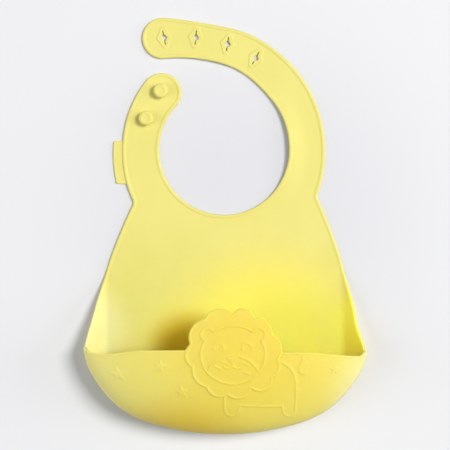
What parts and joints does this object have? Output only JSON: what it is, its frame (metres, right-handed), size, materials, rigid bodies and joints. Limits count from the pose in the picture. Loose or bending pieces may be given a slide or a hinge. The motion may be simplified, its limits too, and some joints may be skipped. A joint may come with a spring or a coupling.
{
  "type": "silicone bib",
  "caption": "Soft one-piece baby bib with a moulded catch pocket, raised lion and star relief, a collar strap with studs and a longer strap with buttonholes.",
  "frame": {"origin": "middle of the footprint, on the table that the bib's back lies on", "axes": "+Z out of the bib's front, +Y from the pocket towards the collar, +X to the viewer's right"},
  "size_m": [0.208, 0.3083, 0.0468],
  "materials": {
    "silicone": "satin"
  },
  "bodies": {
    "chest": {"chest_panel": "silicone", "pocket_back": "silicone"},
    "pocket_front": {"pocket_front": "silicone", "pocket_rim_left": "silicone", "pocket_rim_right": "silicone", "lion_mane": "silicone", "lion_mane_outline": "silicone", "lion_face_outline": "silicone", "lion_muzzle_outline": "silicone", "lion_nose": "silicone", "lion_eyes": "silicone", "lion_mouth": "silicone", "lion_whiskers": "silicone", "lion_body_outline": "silicone", "lion_tail_tip": "silicone", "star_1": "silicone", "star_2": "silicone", "star_3": "silicone", "star_4": "silicone"},
    "collar": {"neck_yoke": "silicone", "side_tab": "silicone"},
    "hole_strap_root": {"hole_strap_root": "silicone"},
    "hole_strap_mid": {"hole_strap_mid": "silicone", "buttonhole_rim_3": "silicone", "buttonhole_rim_4": "silicone"},
    "hole_strap_end": {"hole_strap_end": "silicone", "buttonhole_rim_1": "silicone", "buttonhole_rim_2": "silicone"},
    "stud_strap_root": {"stud_strap_root": "silicone", "stud_lower": "silicone"},
    "stud_strap_end": {"stud_strap_end": "silicone", "stud_upper": "silicone"}
  },
  "joints": [
    {"name": "chest_fold", "type": "hinge", "parent": "chest", "child": "collar", "pos_m": [0, -0.0225, 0.0026], "axis": [1, 0, 0], "range_deg": [0, 110], "stiffness_Nm_per_rad": 0.011},
    {"name": "hole_strap_bend_root", "type": "hinge", "parent": "collar", "child": "hole_strap_root", "pos_m": [0.061, 0.05175, 0.0026], "axis": [1, 0, 0], "range_deg": [0, 25], "stiffness_Nm_per_rad": 0.003},
    {"name": "hole_strap_bend_mid", "type": "hinge", "parent": "hole_strap_root", "child": "hole_strap_mid", "pos_m": [0.033, 0.117, 0.0026], "axis": [0.6248, 0.7808, 0], "range_deg": [0, 25], "stiffness_Nm_per_rad": 0.003},
    {"name": "hole_strap_bend_end", "type": "hinge", "parent": "hole_strap_mid", "child": "hole_strap_end", "pos_m": [-0.0094, 0.1384, 0.0026], "axis": [0.077, 0.997, 0], "range_deg": [0, 25], "stiffness_Nm_per_rad": 0.003},
    {"name": "stud_strap_bend_root", "type": "hinge", "parent": "collar", "child": "stud_strap_root", "pos_m": [-0.0626, 0.069, 0.0026], "axis": [1, 0, 0], "range_deg": [0, 25], "stiffness_Nm_per_rad": 0.003},
    {"name": "stud_strap_bend_end", "type": "hinge", "parent": "stud_strap_root", "child": "stud_strap_end", "pos_m": [-0.0536, 0.09, 0.0026], "axis": [0.8838, -0.4679, 0], "range_deg": [0, 25], "stiffness_Nm_per_rad": 0.003},
    {"name": "pocket_open", "type": "hinge", "parent": "chest", "child": "pocket_front", "pos_m": [0, -0.153, 0.018], "axis": [1, 0, 0], "range_deg": [0, 15], "stiffness_Nm_per_rad": 0.15}
  ],
  "couplings": [
    {"joint": "hole_strap_bend_mid", "follows": "hole_strap_bend_root", "ratio": 1},
    {"joint": "hole_strap_bend_end", "follows": "hole_strap_bend_root", "ratio": 1},
    {"joint": "stud_strap_bend_end", "follows": "stud_strap_bend_root", "ratio": 1}
  ]
}
